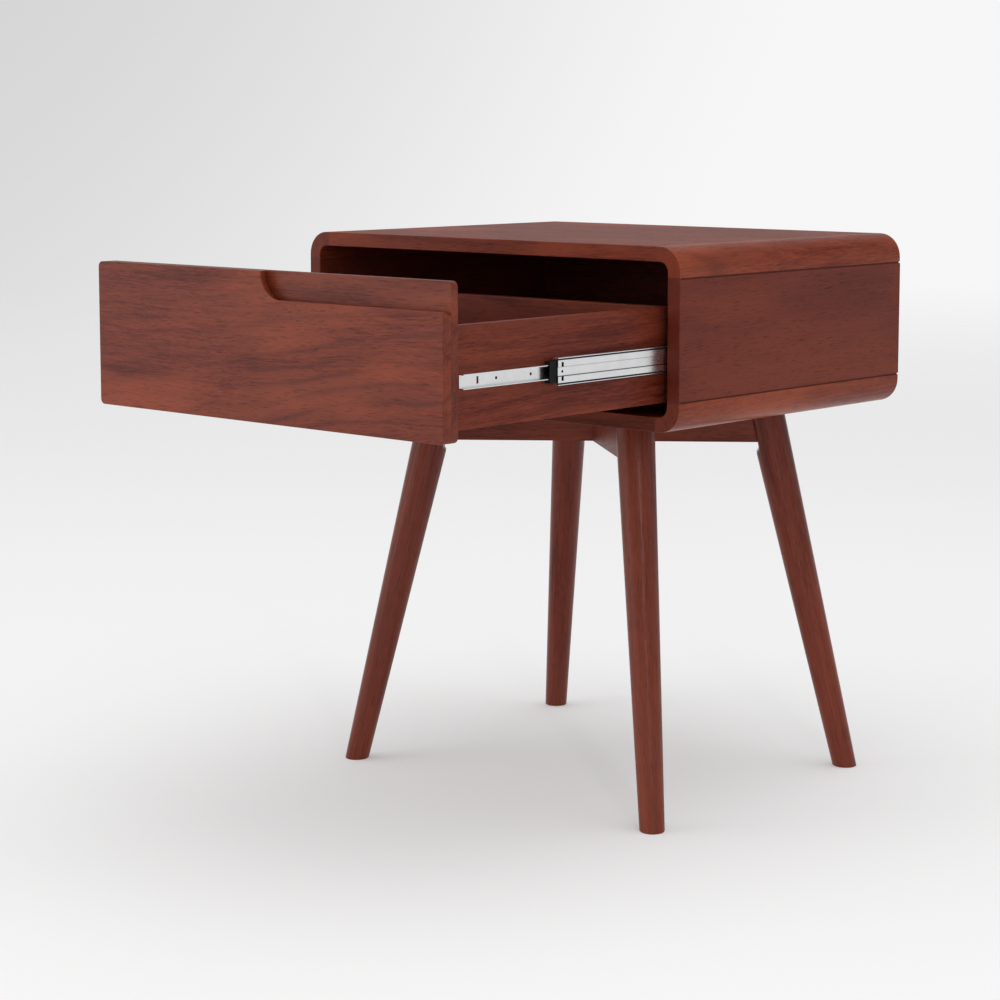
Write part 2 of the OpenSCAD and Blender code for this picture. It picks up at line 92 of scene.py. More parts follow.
half_w = corner_hi[0]                      # half the cabinet's width
front_y = corner_lo[1]                     # the cabinet's front edge
rear_y = corner_hi[1]
under_z = corner_lo[2]                     # underside of the cabinet
over_z = corner_hi[2]                      # top of the cabinet
open_half = side_lo[0]                     # half the width of the opening
panel_t = top_hi[2] - top_lo[2]
block = half_w - top_hi[0]                 # size of a corner block
corner_r = 28 * MM                         # outer and inner radius of a corner block
inner_r = 11.5 * MM
shadow_line = 2 * MM                       # side of the square groove above and below a side board
shadow_stop = 1.5 * MM                     # where it stops behind the front
back_play = 0.3 * MM                       # room beside the back panel
step_w = back_hi[0] + back_play - open_half  # width of the step that the back panel sits in

arris = 1.1 * MM                           # rounding of an open edge
tight = 0.12 * MM                          # rounding where two boards meet
backer_arris = 0.6 * MM
box_arris = 0.8 * MM
front_r = 6 * MM                           # corners of the drawer front
pull_start = 3 * MM                        # finger pull: where its quarter round starts
pull_drop = 29.5 * MM                      # how deep it is cut at the front
pull_slope = 5 * MM                        # how much deeper at the back

foot_x, foot_y = 239.5, 192.5              # foot from the middle of the cabinet, in millimetres
foot_reach = math.hypot(foot_x, foot_y) * MM
leg_reach = 199.5 * MM                     # top of a leg's centre line from the middle
foot_r = 14.5 * MM
leg_top_r = 23 * MM
leg_flat = 17.5 * MM                       # centre line to the flat that seats the beam
leg_shoulder = 5 * MM                      # height of the slope below that flat
leg_foot_ease = 1.6 * MM
seat_gap = 1 * MM                          # the flat starts this far below the beam
diagonal = math.atan2(foot_y, foot_x)
splay = math.atan2(foot_reach - leg_reach, under_z)
cab_mid_y = (front_y + rear_y) / 2

slide_z = (slide_lo[2] + slide_hi[2]) / 2
fold = 4.8 * MM                            # half the width of the band pressed into the middle member

edge_ease = 0.9 * MM                       # eased edges of wooden and steel copies
steel_ease = 0.25 * MM
merge_gap = 2e-6                           # points closer than this become one
sliver = 1e-6                              # edges shorter than this go

# ------------------------------------------------------------------ outlines and skins


def outline(corners, radii, inset=0.0, steps=10):
    """Closed outline with round corners, as an array of points.

    corners run anticlockwise. Each edge moves inwards by its own inset, and each corner becomes an
    arc: centre minus radius times the edge normal turned step by step through the corner's turn.
    Outer corners lose the inset from their radius and inner corners gain it.
    """
    corners = np.asarray(corners, float)
    inset = np.broadcast_to(inset, len(corners)).astype(float)
    along = np.roll(corners, -1, 0) - corners
    along /= np.linalg.norm(along, axis=1, keepdims=True)
    before = np.roll(along, 1, 0)
    normal = np.stack([-along[:, 1], along[:, 0]], 1)
    normal_before = np.roll(normal, 1, 0)
    cosine = (before * along).sum(1)
    turn = np.arctan2(before[:, 0] * along[:, 1] - before[:, 1] * along[:, 0], cosine)
    in_before = np.roll(inset, 1)
    square = 1 - cosine**2
    moved = (
        corners
        + ((in_before - inset * cosine) / square)[:, None] * normal_before
        + ((inset - in_before * cosine) / square)[:, None] * normal
    )
    side = np.sign(turn)
    radius = np.maximum(np.asarray(radii) - side * np.minimum(inset, in_before), 0)
    reach = radius * np.tan(np.abs(turn) / 2)
    centre = moved - before * reach[:, None] + normal_before * (side * radius)[:, None]
    angle = turn[:, None] * np.linspace(0, 1, steps + 1)
    spoke = np.stack(
        [
            normal_before[:, :1] * np.cos(angle) - normal_before[:, 1:] * np.sin(angle),
            normal_before[:, :1] * np.sin(angle) + normal_before[:, 1:] * np.cos(angle),
        ],
        -1,
    )
    return (centre[:, None] - (side * radius)[:, None, None] * spoke).reshape(-1, 2)


def rounding(radius, steps=3):
    """Quarter circle at the end of a board: rows of (set in, distance from the end)."""
    turn = np.linspace(0, math.pi / 2, steps + 1)
    return np.stack([radius * (1 - np.sin(turn)), radius * (1 - np.cos(turn))], 1)


def stack_back(sections):
    """Rings across X and Z, set out along Y. Each section is (y, flat outline)."""
    return np.array([np.insert(flat, 1, y, axis=1) for y, flat in sections])


def skin(name, rings):
    """Closed mesh object through a stack of rings: quads between neighbours, a flat cap at each end."""
    rows, across = rings.shape[:2]
    index = np.arange(rows * across).reshape(rows, across)
    turned = np.roll(index, -1, 1)
    quads = np.stack([index[:-1], turned[:-1], turned[1:], index[1:]], -1).reshape(-1, 4)
    faces = quads.tolist() + [index[0].tolist(), index[-1].tolist()]
    mesh = bpy.data.meshes.new(name)
    mesh.from_pydata(rings.reshape(-1, 3).tolist(), [], faces)
    made = bmesh.new()
    made.from_mesh(mesh)
    bmesh.ops.remove_doubles(made, verts=made.verts, dist=merge_gap)
    bmesh.ops.dissolve_degenerate(made, edges=made.edges, dist=sliver)
    bmesh.ops.recalc_face_normals(made, faces=made.faces)
    made.to_mesh(mesh)
    made.free()
    return smooth_object(name, mesh)


def smooth_object(name, mesh):
    """Object for a mesh, shaded smooth apart from edges sharper than 50 degrees."""
    mesh.polygons.foreach_set("use_smooth", np.ones(len(mesh.polygons), bool))
    mesh.set_sharp_from_angle(angle=math.radians(50))
    piece = bpy.data.objects.new(name, mesh)
    bpy.context.scene.collection.objects.link(piece)
    weigh = piece.modifiers.new("even shading", "WEIGHTED_NORMAL")
    weigh.keep_sharp = True
    weigh.weight = 100
    return piece


def place(piece, node, material):
    """piece stands for one frame node, rides on that node's body and takes its finish."""
    piece.data.materials.clear()
    piece.data.materials.append(material)
    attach(piece, frame["nodes"][node]["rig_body"])
    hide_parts(node)


def board_back(name, front, rear=None, step_y=None, ends=(front_y, rear_y), open_edges=None, radius=arris):
    """Board that runs front to back with eased ends.

    front and rear are (corners, radii); the outline changes from one to the other at step_y.
    open_edges says for each edge whether it is open to the air, 1, or glued to a neighbour, 0.
    """
    open_edges = np.ones(len(front[0])) if open_edges is None else np.asarray(open_edges, float)
    rear = rear or front
    sections = []
    for set_in, depth in rounding(radius):
        sections.append((ends[0] + depth, outline(*front, inset=set_in * open_edges)))
    if step_y is not None:
        sections.append((step_y, outline(*front)))
        sections.append((step_y, outline(*rear)))
    for set_in, depth in rounding(radius)[::-1]:
        sections.append((ends[1] - depth, outline(*rear, inset=set_in * open_edges)))
    return skin(name, stack_back(sections))


# ------------------------------------------------------------------ cabinet boards


def flat_panel(name, up):
    """Top board for up = 1, bottom board for up = -1: a flat board between two corner blocks."""
    outer = over_z if up > 0 else under_z
    end = half_w - block

    def section(thickness):
        low, high = sorted((outer, outer - up * thickness))
        return [(-end, low), (end, low), (end, high), (-end, high)], [tight] * 4

    full, stepped = section(panel_t), section(panel_t - step_w)
    return board_back(name, full, stepped, back_lo[1], open_edges=(1, 0, 1, 0))


def mirrored(corners):
    """The outline seen from the other side, for the left-hand twin; it still runs anticlockwise."""
    return [(-x, z) for x, z in corners][::-1]


def reversed_edges(edges):
    """Values given per edge, for an outline whose corners were put in reverse order."""
    return edges[::-1][1:] + edges[::-1][:1]


def side_board(side):
    """Side board. A square groove along its upper and lower outer edges stops behind the front."""
    low, high = side_lo[2], side_hi[2]
    no_groove = 0.02 * MM                  # the plain front keeps the grooved outline's points

    def section(inner, groove):
        corners = [
            (inner, low),
            (half_w - groove, low),
            (half_w - groove, low + groove),
            (half_w, low + groove),
            (half_w, high - groove),
            (half_w - groove, high - groove),
            (half_w - groove, high),
            (inner, high),
        ]
        return mirrored(corners) if side == "left" else corners, [0] * len(corners)

    plain = section(open_half, no_groove)
    cut = section(open_half, shadow_line)
    stepped = section(open_half + step_w, shadow_line)
    open_edges = [0, 0, 0, 1, 0, 0, 0, 1]
    if side == "left":
        open_edges = reversed_edges(open_edges)
    sections = []
    for set_in, depth in rounding(arris):
        eased = outline(*plain, inset=set_in * np.array(open_edges), steps=1)
        sections.append((front_y + depth, eased))
    groove_y, step_y = front_y + shadow_stop, back_lo[1]
    for y, shape in ((groove_y, plain), (groove_y, cut),
                     (step_y, cut), (step_y, stepped), (rear_y, stepped)):
        sections.append((y, outline(*shape, steps=1)))
    return skin(f"side_board_{side}", stack_back(sections))


def corner_board(side, level, up):
    """Solid corner block, round outside and inside, running from front to back."""

    def section(step):
        edge, inner, thickness = half_w - block, open_half + step, panel_t - step
        corners = [
            (edge, over_z - thickness),
            (inner, over_z - thickness),
            (inner, over_z - block),
            (half_w, over_z - block),
            (half_w, over_z),
            (edge, over_z),
        ]
        radii = [tight, inner_r + step, tight, tight, corner_r, tight]
        if up < 0:
            corners = [(x, under_z + over_z - z) for x, z in corners][::-1]
            radii = radii[::-1]
        if side == "left":
            corners = mirrored(corners)
            radii = radii[::-1]
        return corners, radii

    open_edges = [1, 1, 0, 1, 1, 0]
    for flip in (up < 0, side == "left"):
        if flip:
            open_edges = reversed_edges(open_edges)
    name = f"corner_block_{level}_{side}"
    return board_back(name, section(0), section(step_w), back_lo[1], open_edges=open_edges)


# ------------------------------------------------------------------ legs and drawer boards


def turned_leg(name, sign, depth_sign):
    """Tapered round leg on its splayed axis, cut level at the floor and under the cabinet.

    A point is axis point + radius(height) * (cos, sin), its inward part held at the seat flat, which
    fades in over the shoulder. Every generator starts and ends where it meets the level cuts.
    """
    around, along, ease_steps = 96, 120, 4
    crowding = 0.7                         # below 1 the rings lie closer together towards the top
    turn = np.linspace(0, 2 * math.pi, around, endpoint=False)[None, :]
    lean_s, lean_c = math.sin(splay), math.cos(splay)
    grow = (leg_top_r - foot_r) / under_z * lean_c
    beam_z = span("beam_front_left")[0][2]
    seat = (beam_z - seat_gap - leg_flat * lean_s) / lean_c

    # where a plain generator meets a level plane, then the same for the flat
    start = -foot_r * np.cos(turn) * lean_s / (lean_c + grow * np.cos(turn) * lean_s)
    finish = (under_z - foot_r * np.cos(turn) * lean_s) / (lean_c + grow * np.cos(turn) * lean_s)
    wide = np.cos(turn) * (foot_r + grow * finish) < -leg_flat
    finish = np.where(wide, (under_z + leg_flat * lean_s) / lean_c, finish)

    share = np.concatenate([np.zeros(ease_steps), np.linspace(0, 1, along) ** crowding])[:, None]
    set_in, lift = rounding(leg_foot_ease, ease_steps).T
    lift = np.concatenate([lift[:-1], np.full(along, lift[-1])])[:, None]
    set_in = np.concatenate([set_in[:-1], np.zeros(along)])[:, None]
    run = start + lift + (finish - start - lift) * share
    radius = foot_r + grow * run - set_in
    hold = -leg_flat - (leg_top_r - leg_flat) * np.clip((seat - run) / leg_shoulder, 0, 1)
    outward = np.maximum(radius * np.cos(turn), np.where(run > seat - leg_shoulder, hold, -1))
    across = radius * np.sin(turn)

    reach = foot_reach + outward * lean_c - run * lean_s
    height = np.clip(outward * lean_s + run * lean_c, 0, under_z)
    heading = math.atan2(depth_sign * math.sin(diagonal), sign * math.cos(diagonal))
    x = reach * math.cos(heading) - across * math.sin(heading)
    y = reach * math.sin(heading) + across * math.cos(heading) + cab_mid_y
    return skin(name, np.stack([x, y, height], -1))


def pulled_face():
    """Face board of the drawer, cut down on the right for the fingers.

    The cut is a quarter round that runs into a level floor; its depth grows evenly from the front
    to the back of the board, so the edge slopes back and down.
    """
    half, low, high = face_hi[0], face_lo[2], face_hi[2]
    lip = 0.8 * MM
    rear_arris = 0.5 * MM
    flat_left = 0.1 * MM                   # what the quarter round leaves of each edge beside it

    def section(y, set_in):
        drop = pull_drop + pull_slope * (y - face_lo[1]) / (face_hi[1] - face_lo[1])
        start = pull_start + pull_drop - drop
        corners = [
            (-half, low),
            (half, low),
            (half, high - drop),
            (start, high - drop),
            (start, high),
            (-half, high),
        ]
        radii = [front_r, front_r, lip, drop - lip - 2 * set_in - flat_left, lip, front_r]
        return y, outline(corners, radii, inset=set_in, steps=20)

    front = [section(face_lo[1] + depth, set_in) for set_in, depth in rounding(arris)]
    rear = [section(face_hi[1] - depth, set_in) for set_in, depth in rounding(rear_arris)[::-1]]
    return skin("drawer_face_board", stack_back(front + rear))


def backer_board():
    """Full board behind the face board, with the same round corners."""
    half, low, high = backer_hi[0], backer_lo[2], backer_hi[2]
    corners = [(-half, low), (half, low), (half, high), (-half, high)]
    ends = (backer_lo[1], backer_hi[1])
    return board_back("drawer_backer_board", (corners, [front_r] * 4), ends=ends, radius=backer_arris)


def drawer_back_board():
    """Back of the drawer box: a plain eased board across the width."""
    low, high = span("drawer_back")
    corners = [(low[0], low[2]), (high[0], low[2]), (high[0], high[2]), (low[0], high[2])]
    return board_back("drawer_back_board", (corners, [tight] * 4), ends=(low[1], high[1]),
                      open_edges=(1, 0, 1, 0), radius=box_arris)


def eased_copy(node, name, width, shortest):
    """Merged copy of a frame node. Its edges that are sharp and longer than shortest get a Bevel."""
    flat = math.radians(0.6)
    sharp = math.radians(40)
    mesh = frame["nodes"][node].data.copy()
    mesh.name = name
    made = bmesh.new()
    made.from_mesh(mesh)
    bmesh.ops.remove_doubles(made, verts=made.verts, dist=merge_gap)
    bmesh.ops.dissolve_limit(made, angle_limit=flat, verts=made.verts, edges=made.edges)
    weight = made.edges.layers.float.new("bevel_weight_edge")
    for edge in made.edges:
        if edge.is_manifold and edge.calc_face_angle() > sharp and edge.calc_length() > shortest:
            edge[weight] = 1.0
    made.to_mesh(mesh)
    made.free()
    piece = smooth_object(name, mesh)
    bevel = piece.modifiers.new("eased edges", "BEVEL")
    bevel.limit_method = "WEIGHT"
    bevel.width = width
    bevel.segments = 2
    bevel.use_clamp_overlap = True
    while piece.modifiers[0] != bevel:
        piece.modifiers.move(piece.modifiers.find(bevel.name), 0)
    return piece


# ------------------------------------------------------------------ finishes


class Wire:
    """A socket that takes part in arithmetic: each operator adds one Math node."""

    def __init__(self, finish, socket):
        self.finish = finish
        self.socket = socket

    def math(self, operation, *values):
        return self.finish.add("ShaderNodeMath", {"operation": operation}, dict(enumerate(values)))

    def __add__(self, other):
        return self.math("ADD", self, other)

    __radd__ = __add__

    def __sub__(self, other):
        return self.math("SUBTRACT", self, other)

    def __rsub__(self, other):
        return self.math("SUBTRACT", other, self)

    def __mul__(self, other):
        return self.math("MULTIPLY", self, other)

    __rmul__ = __mul__

    def __pow__(self, other):
        return self.math("POWER", self, other)


class Finish:
    """One material under construction, around its Principled shader."""

    def __init__(self, name, **constants):
        self.material = bpy.data.materials.new(name)
        self.material.use_nodes = True
        self.tree = self.material.node_tree
        self.shader = self.tree.nodes["Principled BSDF"]
        for key, value in constants.items():
            self.shader.inputs[key.replace("_", " ").title().replace("Ior", "IOR")].default_value = value

    def add(self, kind, settings, inputs=None, output=0):
        """Any node: its settings first, then the values or links of its sockets."""
        node = self.tree.nodes.new(kind)
        for key, value in settings.items():
            setattr(node, key, value)
        for key, value in (inputs or {}).items():
            self.plug(node.inputs[key], value)
        return Wire(self, node.outputs[output])

    def plug(self, socket, value):
        if isinstance(value, Wire):
            self.tree.links.new(value.socket, socket)
        else:
            socket.default_value = value

    def drive(self, name, wire):
        """Feeds one of the shader's own sockets."""
        self.plug(self.shader.inputs[name], wire)

    def coordinates(self, kind="Object"):
        return self.add("ShaderNodeTexCoord", {}, output=kind)

    def noise(self, where, scale, detail, roughness):
        inputs = {"Vector": where, "Scale": scale, "Detail": detail, "Roughness": roughness}
        return self.add("ShaderNodeTexNoise", {}, inputs)

    def vector(self, operation, one, two, output=0):
        return self.add("ShaderNodeVectorMath", {"operation": operation}, {0: one, 1: two}, output)

    def stretch(self, where, factors):
        return self.vector("MULTIPLY", where, factors)

    def along(self, where, direction):
        """How far a vector points in a direction, as a number."""
        return self.vector("DOT_PRODUCT", where, tuple(unit(direction)), output="Value")

    def between(self, value, low, high):
        """0 below low, 1 above high, smooth between."""
        inputs = {"Value": value, "From Min": low, "From Max": high}
        return self.add("ShaderNodeMapRange", {"interpolation_type": "SMOOTHSTEP"}, inputs)

    def blend(self, factor, one, two, how="MIX"):
        """Colour mix, for colours and colour wires."""
        return self.add("ShaderNodeMix", {"data_type": "RGBA", "blend_type": how},
                        {0: factor, 6: one, 7: two}, output=2)

    def bump(self, height, strength, distance):
        inputs = {"Height": height, "Strength": strength, "Distance": distance}
        self.drive("Normal", self.add("ShaderNodeBump", {}, inputs))


def unit(direction):
    """The direction as an array of length 1."""
    return np.array(direction, float) / np.linalg.norm(direction)


def rgb(red, green, blue):
    """Linear colour from the 0 to 255 values a colour is usually written in."""
    levels = np.array([red, green, blue]) / 255
    linear = np.where(levels < 0.04045, levels / 12.92, ((levels + 0.055) / 1.055) ** 2.4)
    return (*[float(v) for v in linear], 1.0)


def grain_frame(finish, grain, seed):
    """Object coordinates turned so that X runs along the grain, moved to a fresh part of the tree."""
    along = unit(grain)
    helper = (0, 1, 0) if abs(along[2]) > 0.7 else (0, 0, 1)
    across = unit(np.cross(helper, along))
    turn = Matrix([along, across, np.cross(along, across)]).to_euler()
    offset = tuple(np.random.default_rng(seed).uniform(-3, 3, 3))
    inputs = {"Vector": finish.coordinates(), "Rotation": turn, "Location": offset}
    return finish.add("ShaderNodeMapping", {}, inputs)


def stained_wood(name, grain, seed, light=rgb(134, 60, 40), dark=rgb(80, 26, 19), figure=1.0,
                 contrast=1.0, grey=0.5, roughness=0.40, shine=0.20, gain=1.0, end_shade_gain=1.0):
    """Red-brown stained hardwood: soft patches, streaks, faint growth rings, fibre and short pores.

    figure is the strength of the drift, rings and glow; grey that of the smoky bands. gain darkens
    the whole board. The last argument darkens only the faces across the grain: painted shade, standing
    for the shade that the drawer front casts on the cabinet's front edges.
    """
    finish = Finish(name, specular_ior_level=shine)
    wood = grain_frame(finish, grain, seed)

    # slow drift of the fibres, so that no line runs dead straight
    inputs = {"Vector": finish.stretch(wood, (0.45, 1, 1)), "Scale": 6.0, "Detail": 2.0}
    drift = finish.add("ShaderNodeTexNoise", {}, inputs, output="Color")
    drift = finish.vector("SUBTRACT", drift, (0.5, 0.5, 0.5))
    wood = finish.vector("ADD", wood, finish.stretch(drift, (0, 0.030 * figure, 0.030 * figure)))

    # from broad to fine, each drawn out along the grain
    glow = finish.noise(finish.stretch(wood, (0.30, 1, 1)), 14.0, 2.0, 0.5)
    patches = finish.noise(finish.stretch(wood, (0.14, 1, 1)), 25.0, 4.0, 0.5)
    bands = finish.noise(finish.stretch(wood, (0.05, 1, 1)), 75.0, 3.0, 0.55)
    streaks = finish.noise(finish.stretch(wood, (0.030, 1, 1)), 340.0, 3.0, 0.6)
    fibre = finish.noise(finish.stretch(wood, (0.07, 1, 1)), 900.0, 2.0, 0.6)
    pores = finish.noise(finish.stretch(wood, (0.05, 1, 1)), 1100.0, 1.0, 0.5)

    # growth rings round a pith just outside the board, tilted a little against the grain
    pith = tuple(np.random.default_rng(seed + 500).uniform(-0.12, 0.12, 3))
    inputs = {"Vector": wood, "Rotation": (0, 0.05, 0.09), "Location": pith}
    tilted = finish.add("ShaderNodeMapping", {}, inputs)
    settings = {"wave_type": "RINGS", "rings_direction": "X"}
    inputs = {"Vector": tilted, "Scale": 22.0, "Distortion": 3.0, "Detail": 2.0, "Detail Scale": 0.5}
    ring = finish.add("ShaderNodeTexWave", settings, inputs, output="Fac")
    ring = (ring ** 3.0) * finish.between(patches, 0.42, 0.62)

    # the noises' mean lies a little under a half; the spread sets how far dark and light drift apart
    tone = 0.32 * patches + 0.26 * bands + 0.24 * streaks + 0.18 * fibre
    middle_tone, spread = 0.485, 0.115 / contrast
    tone = finish.between(tone, middle_tone - spread, middle_tone + spread)
    smoke = finish.between(0.50 * bands + 0.35 * patches + 0.15 * streaks, 0.43, 0.66)
    warm = finish.between(glow, 0.42, 0.72) * (0.5 * min(figure, 1.0))
    pore = finish.between(pores, 0.58, 0.70)

    colour = finish.blend(tone, dark, light)
    colour = finish.blend(smoke * grey, colour, rgb(76, 35, 30))
    colour = finish.blend(ring * 0.38 * figure, colour, rgb(70, 26, 21))
    colour = finish.blend(warm, colour, rgb(156, 74, 46))
    colour = finish.blend(pore * 0.42, colour, rgb(42, 14, 11))
    if gain != 1.0:
        colour = finish.blend(1.0, colour, (gain, gain, gain, 1), how="MULTIPLY")
    # painted shade: the faces across the grain are darkened for the drawer front's shadow on the front
    # edges
    if end_shade_gain != 1.0:
        facing = finish.along(finish.coordinates("Normal"), grain)
        end = finish.between(facing * facing, 0.5, 0.95)
        end_shade_tone = (end_shade_gain, end_shade_gain * 0.85, end_shade_gain * 0.75, 1)
        colour = finish.blend(end, colour, end_shade_tone, how="MULTIPLY")
    finish.drive("Base Color", colour)
    finish.drive("Roughness", roughness + 0.12 * (streaks - 0.5) + 0.12 * pore)
    finish.bump(fibre * 0.4 - pore * 0.9, 0.22, 0.0003)
    return finish.material


def zinc_steel(name, along=(0, 1, 0), seed=3, roughness=0.24, tone=(0.82, 0.82, 0.83, 1),
               crease_shades=()):
    """Bright zinc-plated steel: fine drawing lines along the member and faint cloudy passivation.

    Each entry of the last argument is (height, strength) of a painted shade line along a crease where the
    web is pressed in.
    """
    finish = Finish(name, metallic=1.0)
    where = grain_frame(finish, along, seed)
    lines = finish.noise(finish.stretch(where, (0.01, 1, 1)), 900.0, 2.0, 0.6)
    cloud = finish.noise(where, 45.0, 3.0, 0.6)
    colour = finish.blend(finish.between(cloud, 0.35, 0.7) * 0.5, tone, (0.72, 0.725, 0.74, 1))
    # painted shade: dark lines along the creases of the web
    for height, strength in crease_shades:
        off = (finish.along(finish.coordinates(), (0, 0, 1)) - height) * (1 / MM)
        line = 1 - finish.between(off * off, 0.10, 0.55)
        colour = finish.blend(line * strength, colour, (0.06, 0.06, 0.065, 1))
    finish.drive("Base Color", colour)
    finish.drive("Roughness", roughness + 0.10 * (lines - 0.5) + 0.08 * (cloud - 0.5))
    finish.bump(lines, 0.05, 0.0001)
    return finish.material


def black_plastic(name):
    """Moulded black cage plastic with a fine matt texture."""
    finish = Finish(name, specular_ior_level=0.08)
    where = finish.coordinates()
    grain = finish.noise(where, 1800.0, 2.0, 0.6)
    cloud = finish.noise(where, 60.0, 2.0, 0.5)
    finish.drive("Base Color", finish.blend(cloud, (0.006, 0.006, 0.006, 1), (0.014, 0.014, 0.014, 1)))
    finish.drive("Roughness", 0.42 + 0.15 * (grain - 0.5))
    finish.bump(grain, 0.15, 0.0001)
    return finish.material


def groove_shade_finish(name):
    """Near-black painted shade over steel, in the narrow grooves beside the rolled flanges, where the ball
    races lie in shadow; glossy and faintly mottled.
    """
    finish = Finish(name, specular_ior_level=0.3)
    shade_mottle = finish.noise(finish.stretch(finish.coordinates(), (1, 0.1, 1)), 300.0, 3.0, 0.6)
    finish.drive("Base Color", finish.blend(shade_mottle, (0.008, 0.008, 0.009, 1), (0.035, 0.033, 0.032, 1)))
    finish.drive("Roughness", 0.35 + 0.2 * shade_mottle)
    return finish.material


def paint_groove_shade(piece, finish):
    """Gives the sunk faces of a slide member's two long grooves their own near-black finish: painted shade.

    A face is in a groove if its middle lies just inside the member's upper or lower edge and behind
    the member's outer skin.
    """
    sunk_from, sunk_to = 0.3 * MM, 2.4 * MM
    edge_from, edge_to = 0.85 * MM, 2.55 * MM
    mesh = piece.data
    mesh.materials.append(finish)
    middles = np.empty(len(mesh.polygons) * 3)
    mesh.polygons.foreach_get("center", middles)
    middles = np.abs(middles.reshape(-1, 3))
    points = np.empty(len(mesh.vertices) * 3)
    mesh.vertices.foreach_get("co", points)
    points = points.reshape(-1, 3)
    low, high = points[:, 2].min(), points[:, 2].max()
    below_skin = np.abs(points[:, 0]).max() - middles[:, 0]
    off_edge = (high - low) / 2 - np.abs(middles[:, 2] - (high + low) / 2)
    sunk = (below_skin > sunk_from) & (below_skin < sunk_to) & (off_edge > edge_from) & (off_edge < edge_to)
    mesh.polygons.foreach_set("material_index", sunk.astype(np.int32))


# ------------------------------------------------------------------ the pieces

GRAIN_ACROSS = (1, 0, 0.02)
GRAIN_BACK = (0.02, 1, 0.03)
wood = {
    "face": stained_wood("stained_wood_face", GRAIN_ACROSS, 11, figure=1.4, shine=0.18, gain=0.95),
    "backer": stained_wood("stained_wood_backer", GRAIN_ACROSS, 12, gain=0.88),
    "top": stained_wood("stained_wood_top", GRAIN_ACROSS, 13, roughness=0.42, shine=0.10),
    # painted shade: the bottom board is darkened all over for the shade under the drawer front on its front
    # edge
    "bottom": stained_wood("stained_wood_bottom", GRAIN_ACROSS, 14, gain=0.62, shine=0.08),
    "drawer_back": stained_wood("stained_wood_drawer_back", GRAIN_ACROSS, 15, gain=0.8),
    "plywood": stained_wood("stained_plywood", GRAIN_ACROSS, 16, figure=0.6, roughness=0.5),
}
for number, side in enumerate(SIDES):
    wood["side_" + side] = stained_wood("veneered_side_" + side, GRAIN_BACK, 21 + number, figure=0.35,
                                        light=rgb(114, 50, 35), dark=rgb(84, 31, 24),
                                        contrast=0.5, grey=0.20, roughness=0.44, shine=0.14,
                                        end_shade_gain=0.80)
    wood["box_" + side] = stained_wood("stained_box_side_" + side, GRAIN_BACK, 31 + number, figure=1.2,
                                       shine=0.12, gain=0.94)
    for level, up in LEVELS:
        node = f"corner_{level}_{side}"
        wood[node] = stained_wood("stained_" + node, GRAIN_BACK, 41 + 2 * number + (up > 0), roughness=0.34,
                                  light=rgb(146, 66, 39), dark=rgb(90, 30, 20), shine=0.14, end_shade_gain=0.70)

place(flat_panel("top_board", 1), "top_panel", wood["top"])
place(flat_panel("bottom_board", -1), "bottom_panel", wood["bottom"])
for side in SIDES:
    place(side_board(side), "side_panel_" + side, wood["side_" + side])
    for level, up in LEVELS:
        node = f"corner_{level}_{side}"
        place(corner_board(side, level, up), node, wood[node])

lean = math.tan(splay)
legs = [(depth, side) for depth in ("front", "back") for side in SIDES]
for number, (depth, side) in enumerate(legs):
    sign = 1 if side == "right" else -1
    depth_sign = 1 if depth == "back" else -1
    axis = (-sign * math.cos(diagonal) * lean, -depth_sign * math.sin(diagonal) * lean, 1)
    node = f"leg_{depth}_{side}"
    finish = stained_wood("stained_" + node, axis, 51 + number, figure=0.5, roughness=0.29, shine=0.20,
                          gain=0.93)
    place(turned_leg("turned_" + node, sign, depth_sign), node, finish)

for number, side in enumerate(SIDES):
    node = "beam_front_" + side
    heading = (math.cos(diagonal), (1 if side == "left" else -1) * math.sin(diagonal), 0.01)
    finish = stained_wood("stained_" + node, heading, 61 + number, figure=0.6)
    place(eased_copy(node, "cross_" + node, edge_ease, 20 * MM), node, finish)

place(pulled_face(), "drawer_face", wood["face"])
place(backer_board(), "drawer_backer", wood["backer"])
place(drawer_back_board(), "drawer_back", wood["drawer_back"])

zinc = zinc_steel("bright_zinc_members")
# painted shade along the two creases of the middle member's web: strong below, faint above
crease_shaded_zinc = zinc_steel("bright_zinc_middle", crease_shades=((slide_z - fold, 0.85), (slide_z + fold, 0.30)))
# painted shade: near-black finish for the grooves beside the middle member's flanges, which lie in shadow
painted_groove_shade = groove_shade_finish("painted_groove_shade_steel")
screw_steel = zinc_steel("zinc_screws", (0, 0, 1), 5, 0.32, (0.62, 0.62, 0.64, 1))
dark_steel = zinc_steel("oxidised_screws", (0, 0, 1), 6, 0.45, (0.10, 0.07, 0.06, 1))
ball_steel = zinc_steel("polished_balls", (0, 1, 0), 7, 0.12, (0.70, 0.70, 0.71, 1))
plastic = black_plastic("black_cage_plastic")
dowel_wood = stained_wood("pale_dowel_wood", (1, 1, 0), 71, light=rgb(196, 160, 118),
                          dark=rgb(158, 120, 84), grey=0.0)

for side in SIDES:
    place(eased_copy("drawer_side_" + side, "drawer_side_board_" + side, edge_ease, 60 * MM),
          "drawer_side_" + side, wood["box_" + side])
    for member in ("outer", "middle", "inner"):
        node = f"slide_{member}_{side}"
        piece = eased_copy(node, f"slide_member_{member}_{side}", steel_ease, 60 * MM)
        place(piece, node, crease_shaded_zinc if member == "middle" else zinc)
        if member == "middle":
            paint_groove_shade(piece, painted_groove_shade)

CARRIED = {
    "back_panel": wood["plywood"],
    "drawer_bottom": wood["plywood"],
    "leg_dowels": dowel_wood,
    "inner_cage_": plastic,
    "outer_cage_": zinc,
    "outer_balls_": ball_steel,
    "inner_balls_": ball_steel,
    "_screws": screw_steel,
    "box_screws": dark_steel,
    "front_screws": dark_steel,
}
for node, piece in frame["nodes"].items():
    for part, finish in CARRIED.items():
        if part in node:
            piece.data.materials.clear()
            piece.data.materials.append(finish)

# ------------------------------------------------------------------ studio

